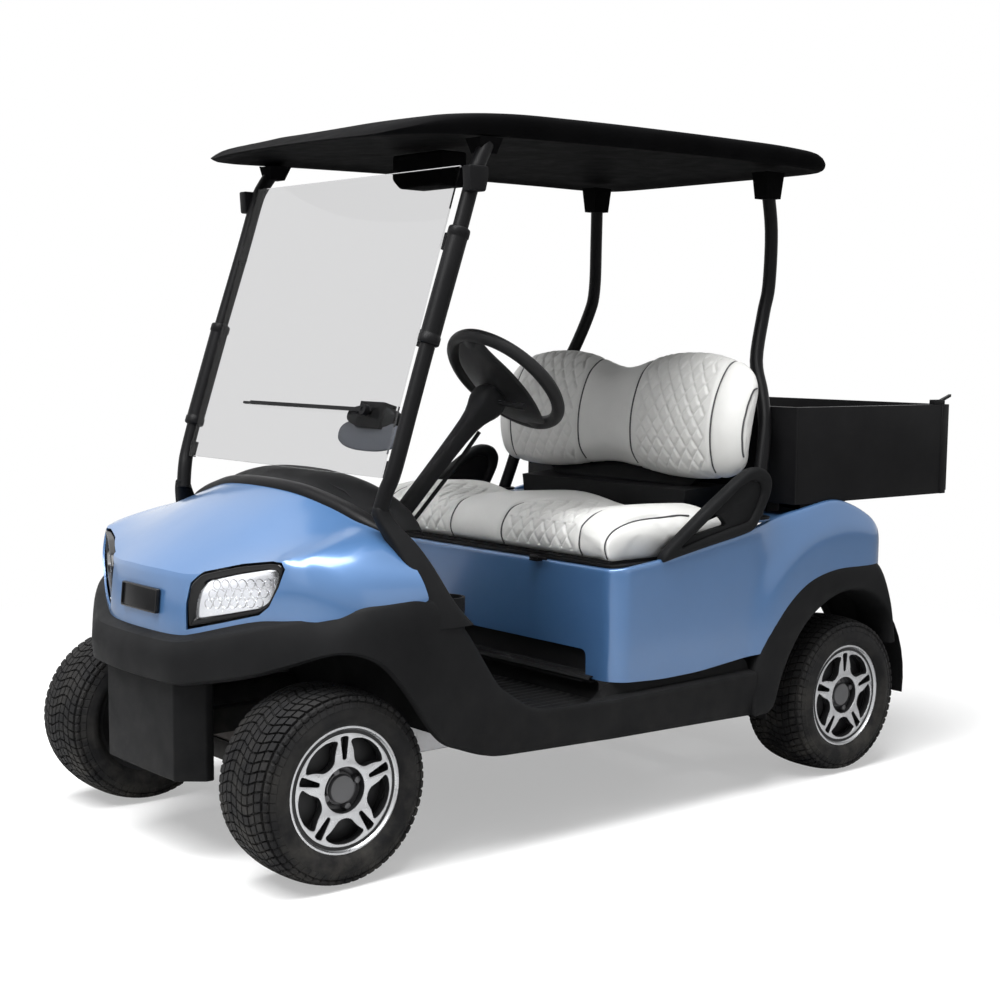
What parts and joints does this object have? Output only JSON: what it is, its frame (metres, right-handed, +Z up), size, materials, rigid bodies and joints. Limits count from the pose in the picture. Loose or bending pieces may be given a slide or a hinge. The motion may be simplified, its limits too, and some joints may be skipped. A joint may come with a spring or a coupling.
{
  "type": "two-seat electric golf cart with rear cargo box",
  "caption": "Two-seat electric golf cart with canopy, clear windscreen, bench seat, steered front wheels and a drop-gate cargo box.",
  "frame": {"origin": "on the floor under the middle of the whole length and width", "axes": "-Y towards the nose, +X towards the driver's side (vehicle left), +Z up"},
  "size_m": [1.2, 2.403, 1.7449],
  "materials": {
    "tyre_rubber": "matt moulded rubber",
    "rim_alloy": "machined edges over dark grey pockets",
    "paint_blue": "metallic light blue with clear coat",
    "dark_plastic": "grained charcoal moulding",
    "black_paint": "satin black powder coat",
    "canopy_black": "fine grained black",
    "axle_steel": "black painted castings",
    "frame_alloy": "mill finish extrusion",
    "spring_steel": "dark oiled steel",
    "seat_leather": "light grey with black piping",
    "screen_glass": "clear, faint grey tint",
    "lamp_glass": "clear lens",
    "lamp_black": "gloss black bezel",
    "lamp_red": "red lens",
    "wheel_grip": "soft black grip",
    "battery_case": "dark grey case"
  },
  "bodies": {
    "chassis": {"backrest": "seat_leather", "backrest_frame": "dark_plastic", "battery_pack": "battery_case", "box_brackets": "black_paint", "box_floor": "black_paint", "box_front": "black_paint", "box_hardware": "black_paint", "box_sides": "black_paint", "bumper_band": "dark_plastic", "canopy": "canopy_black", "canopy_brackets": "canopy_black", "cowl_top": "dark_plastic", "cross_members": "frame_alloy", "cup_holders": "dark_plastic", "dash": "dark_plastic", "drive_motor": "black_paint", "floor_tray": "dark_plastic", "front_axle_beam": "axle_steel", "front_cowl": "paint_blue", "front_fascia": "dark_plastic", "front_rails": "frame_alloy", "front_struts": "black_paint", "headlamp_left": "lamp_black", "headlamp_lens_left": "lamp_glass", "headlamp_lens_right": "lamp_glass", "headlamp_right": "lamp_black", "hip_restraints": "dark_plastic", "leaf_springs": "spring_steel", "pedals": "black_paint", "pillars": "dark_plastic", "rear_axle": "axle_steel", "rear_body": "paint_blue", "rear_crossbar": "frame_alloy", "rear_flares": "dark_plastic", "rear_struts": "black_paint", "seat_hinges": "black_paint", "side_rails": "frame_alloy", "sills": "dark_plastic", "steering_column": "dark_plastic", "tail_lamps": "lamp_red", "windscreen": "screen_glass", "windscreen_clips": "black_paint", "wiper_motor": "dark_plastic"},
    "knuckle_left": {"knuckle_left": "axle_steel"},
    "knuckle_right": {"knuckle_right": "axle_steel"},
    "track_rod": {"tie_rod": "spring_steel"},
    "wheel_front_left": {"front_tyre_left": "tyre_rubber", "front_rim_left": "rim_alloy"},
    "wheel_front_right": {"front_tyre_right": "tyre_rubber", "front_rim_right": "rim_alloy"},
    "wheel_rear_left": {"rear_tyre_left": "tyre_rubber", "rear_rim_left": "rim_alloy"},
    "wheel_rear_right": {"rear_tyre_right": "tyre_rubber", "rear_rim_right": "rim_alloy"},
    "helm": {"steering_wheel": "wheel_grip"},
    "seat_lid": {"seat_cushion": "seat_leather", "seat_pan": "dark_plastic"},
    "gate": {"tailgate": "black_paint"},
    "wiper_arm": {"wiper": "black_paint"}
  },
  "joints": [
    {"name": "steer_left", "type": "hinge", "parent": "chassis", "child": "knuckle_left", "pos_m": [0.37, -0.9485, 0.221], "axis": [0, 0, 1], "range_deg": [-30, 30]},
    {"name": "steer_right", "type": "hinge", "parent": "chassis", "child": "knuckle_right", "pos_m": [-0.37, -0.9485, 0.221], "axis": [0, 0, 1], "range_deg": [-30, 30]},
    {"name": "track_rod_shift", "type": "slide", "parent": "chassis", "child": "track_rod", "axis": [1, 0, 0], "range_m": [-0.042, 0.042]},
    {"name": "helm_turn", "type": "hinge", "parent": "chassis", "child": "helm", "pos_m": [0.27, -0.2865, 1.106], "axis": [0, 0.6947, 0.7193], "range_deg": [-450, 450]},
    {"name": "spin_front_left", "type": "hinge", "parent": "knuckle_left", "child": "wheel_front_left", "pos_m": [0.449, -0.9485, 0.221], "axis": [1, 0, 0], "continuous": true},
    {"name": "spin_front_right", "type": "hinge", "parent": "knuckle_right", "child": "wheel_front_right", "pos_m": [-0.449, -0.9485, 0.221], "axis": [1, 0, 0], "continuous": true},
    {"name": "spin_rear_left", "type": "hinge", "parent": "chassis", "child": "wheel_rear_left", "pos_m": [0.49, 0.7155, 0.221], "axis": [1, 0, 0], "continuous": true},
    {"name": "spin_rear_right", "type": "hinge", "parent": "chassis", "child": "wheel_rear_right", "pos_m": [-0.49, 0.7155, 0.221], "axis": [1, 0, 0], "continuous": true},
    {"name": "seat_tilt", "type": "hinge", "parent": "chassis", "child": "seat_lid", "pos_m": [0, -0.1945, 0.652], "axis": [1, 0, 0], "range_deg": [0, 50]},
    {"name": "gate_drop", "type": "hinge", "parent": "chassis", "child": "gate", "pos_m": [0, 1.1935, 0.768], "axis": [-1, 0, 0], "range_deg": [0, 90]},
    {"name": "wiper_sweep", "type": "hinge", "parent": "chassis", "child": "wiper_arm", "pos_m": [0.33, -0.73787, 1.03521], "axis": [0, 0.9547, -0.2975], "range_deg": [0, 85]}
  ],
  "couplings": [
    {"joint": "steer_right", "follows": "steer_left", "ratio": 1},
    {"joint": "track_rod_shift", "follows": "steer_left", "m_per_rad": -0.08},
    {"joint": "helm_turn", "follows": "steer_left", "ratio": 15}
  ]
}
